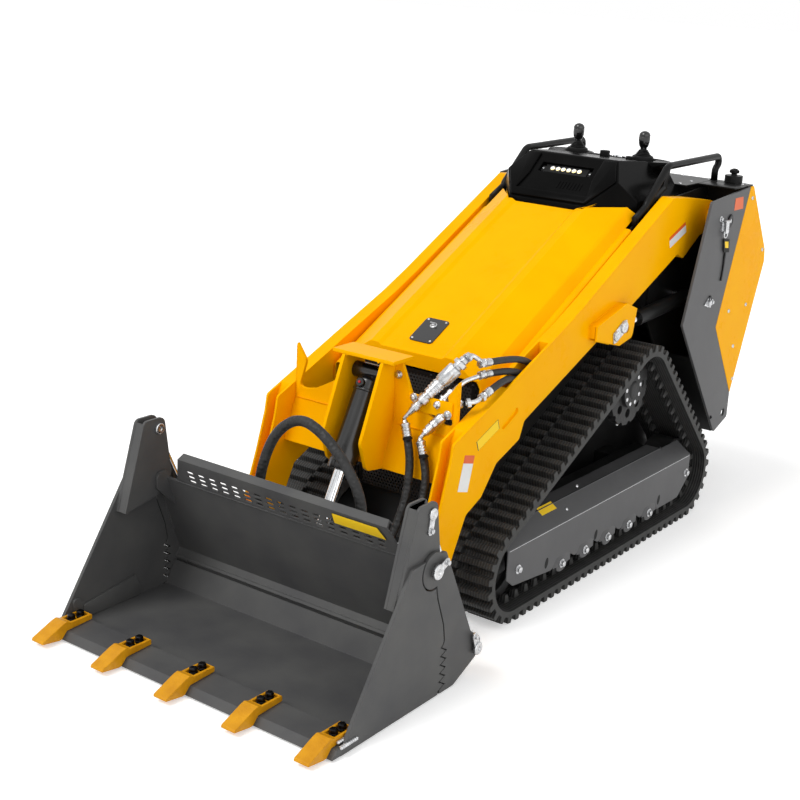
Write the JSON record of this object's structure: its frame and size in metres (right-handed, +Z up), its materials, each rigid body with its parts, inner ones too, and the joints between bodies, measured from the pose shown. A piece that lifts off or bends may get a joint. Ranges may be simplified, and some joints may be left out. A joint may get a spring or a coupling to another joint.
{
  "type": "compact track loader",
  "caption": "Stand-on compact track loader with rubber tracks, lift arms, a four-in-one bucket, an opening hood and a rear platform.",
  "frame": {"origin": "on the ground under the middle of the bounding box", "axes": "-Y ahead of the machine, +X to its left, +Z up"},
  "size_m": [1.12, 3.095, 1.455],
  "materials": {
    "yellow_paint": "gloss powder coat",
    "grey_paint": "semi-gloss powder coat",
    "black_paint": "satin powder coat",
    "bucket_paint": "satin powder coat",
    "tooth_paint": "satin",
    "cast_steel": "rough",
    "zinc": "bright zinc",
    "chrome_rod": "polished",
    "rubber": "matte",
    "black_plastic": "gloss",
    "lamp_glass": "clear"
  },
  "bodies": {
    "chassis": {"main_frame": "black_paint", "engine_block": "cast_steel", "front_grille": "black_paint", "tower_plates": "grey_paint", "tower_frames": "black_paint", "side_panels": "yellow_paint", "rear_body": "black_paint", "deck": "black_paint", "thigh_pad": "rubber", "platform": "black_paint", "console": "black_plastic", "light_bar": "lamp_glass", "joysticks": "rubber", "handrails": "black_paint", "boom_pins": "zinc", "track_frames": "black_paint", "track_covers": "grey_paint", "track_left": "rubber", "track_right": "rubber", "sprockets": "grey_paint", "idlers": "cast_steel", "rollers": "cast_steel"},
    "boom": {"boom_arm_left": "yellow_paint", "boom_arm_right": "yellow_paint", "boom_crossmember": "yellow_paint", "aux_couplers": "zinc", "boom_hoses": "rubber", "bucket_hoses": "rubber"},
    "lift_barrel_l": {"lift_barrel_left": "black_paint"},
    "lift_barrel_r": {"lift_barrel_right": "black_paint"},
    "lift_rod_l": {"lift_rod_left": "chrome_rod"},
    "lift_rod_r": {"lift_rod_right": "chrome_rod"},
    "tilt_barrel": {"tilt_barrel": "zinc"},
    "tilt_rod": {"tilt_rod": "chrome_rod"},
    "bucket": {"quick_attach": "grey_paint", "bucket_back": "bucket_paint", "spill_guard": "bucket_paint", "loop_hose": "rubber"},
    "bucket_jaw": {"jaw": "bucket_paint", "jaw_teeth": "tooth_paint"},
    "jaw_barrel_l": {"jaw_barrel_left": "bucket_paint"},
    "jaw_barrel_r": {"jaw_barrel_right": "bucket_paint"},
    "jaw_rod_l": {"jaw_rod_left": "chrome_rod"},
    "jaw_rod_r": {"jaw_rod_right": "chrome_rod"},
    "hood": {"hood": "yellow_paint", "hood_plate": "black_paint"}
  },
  "joints": [
    {"name": "boom_lift", "type": "hinge", "parent": "chassis", "child": "boom", "pos_m": [0, 0.9325, 1.15], "axis": [-1, 0, 0], "range_deg": [0, 58]},
    {"name": "bucket_tilt", "type": "hinge", "parent": "boom", "child": "bucket", "pos_m": [0, -0.7855, 0.175], "axis": [-1, 0, 0], "range_deg": [-95, 20], "deforming": ["bucket_hoses"]},
    {"name": "jaw_open", "type": "hinge", "parent": "bucket", "child": "bucket_jaw", "pos_m": [0, -1.0475, 0.408], "axis": [-1, 0, 0], "range_deg": [0, 60]},
    {"name": "hood_open", "type": "hinge", "parent": "chassis", "child": "hood", "pos_m": [0, 0.4175, 1.215], "axis": [-1, 0, 0], "range_deg": [0, 35]},
    {"name": "lift_barrel_swing_l", "type": "hinge", "parent": "chassis", "child": "lift_barrel_l", "pos_m": [0.359, 0.8275, 0.865], "axis": [-1, 0, 0], "range_deg": [0, 59.96]},
    {"name": "lift_rod_slide_l", "type": "slide", "parent": "lift_barrel_l", "child": "lift_rod_l", "axis": [0, -0.9984, -0.0557], "range_m": [0, 0.30424]},
    {"name": "lift_barrel_swing_r", "type": "hinge", "parent": "chassis", "child": "lift_barrel_r", "pos_m": [-0.359, 0.8275, 0.865], "axis": [-1, 0, 0], "range_deg": [0, 59.96]},
    {"name": "lift_rod_slide_r", "type": "slide", "parent": "lift_barrel_r", "child": "lift_rod_r", "axis": [0, -0.9984, -0.0557], "range_m": [0, 0.30424]},
    {"name": "tilt_barrel_swing", "type": "hinge", "parent": "boom", "child": "tilt_barrel", "pos_m": [0, -0.6285, 0.777], "axis": [-1, 0, 0], "range_deg": [-1.38, 0.31]},
    {"name": "tilt_rod_slide", "type": "slide", "parent": "tilt_barrel", "child": "tilt_rod", "axis": [0, -0.4532, -0.8914], "range_m": [-0.05411, 0.23943]},
    {"name": "jaw_barrel_swing_l", "type": "hinge", "parent": "bucket", "child": "jaw_barrel_l", "pos_m": [0.5, -0.8105, 0.089], "axis": [-1, 0, 0], "range_deg": [0, 15.21]},
    {"name": "jaw_rod_slide_l", "type": "slide", "parent": "jaw_barrel_l", "child": "jaw_rod_l", "axis": [0, -0.4567, 0.8896], "range_m": [-0.11227, 0]},
    {"name": "jaw_barrel_swing_r", "type": "hinge", "parent": "bucket", "child": "jaw_barrel_r", "pos_m": [-0.5, -0.8105, 0.089], "axis": [-1, 0, 0], "range_deg": [0, 15.21]},
    {"name": "jaw_rod_slide_r", "type": "slide", "parent": "jaw_barrel_r", "child": "jaw_rod_r", "axis": [0, -0.4567, 0.8896], "range_m": [-0.11227, 0]}
  ],
  "couplings": [
    {"joint": "lift_barrel_swing_l", "follows": "boom_lift", "ratio": 1.0136},
    {"joint": "lift_rod_slide_l", "follows": "boom_lift", "m_per_rad": 0.29466},
    {"joint": "lift_barrel_swing_r", "follows": "boom_lift", "ratio": 1.0136},
    {"joint": "lift_rod_slide_r", "follows": "boom_lift", "m_per_rad": 0.29466},
    {"joint": "tilt_barrel_swing", "follows": "bucket_tilt", "ratio": 0.01423},
    {"joint": "tilt_rod_slide", "follows": "bucket_tilt", "m_per_rad": -0.14157},
    {"joint": "jaw_barrel_swing_l", "follows": "jaw_open", "ratio": 0.24855},
    {"joint": "jaw_rod_slide_l", "follows": "jaw_open", "m_per_rad": -0.10511},
    {"joint": "jaw_barrel_swing_r", "follows": "jaw_open", "ratio": 0.24855},
    {"joint": "jaw_rod_slide_r", "follows": "jaw_open", "m_per_rad": -0.10511}
  ]
}
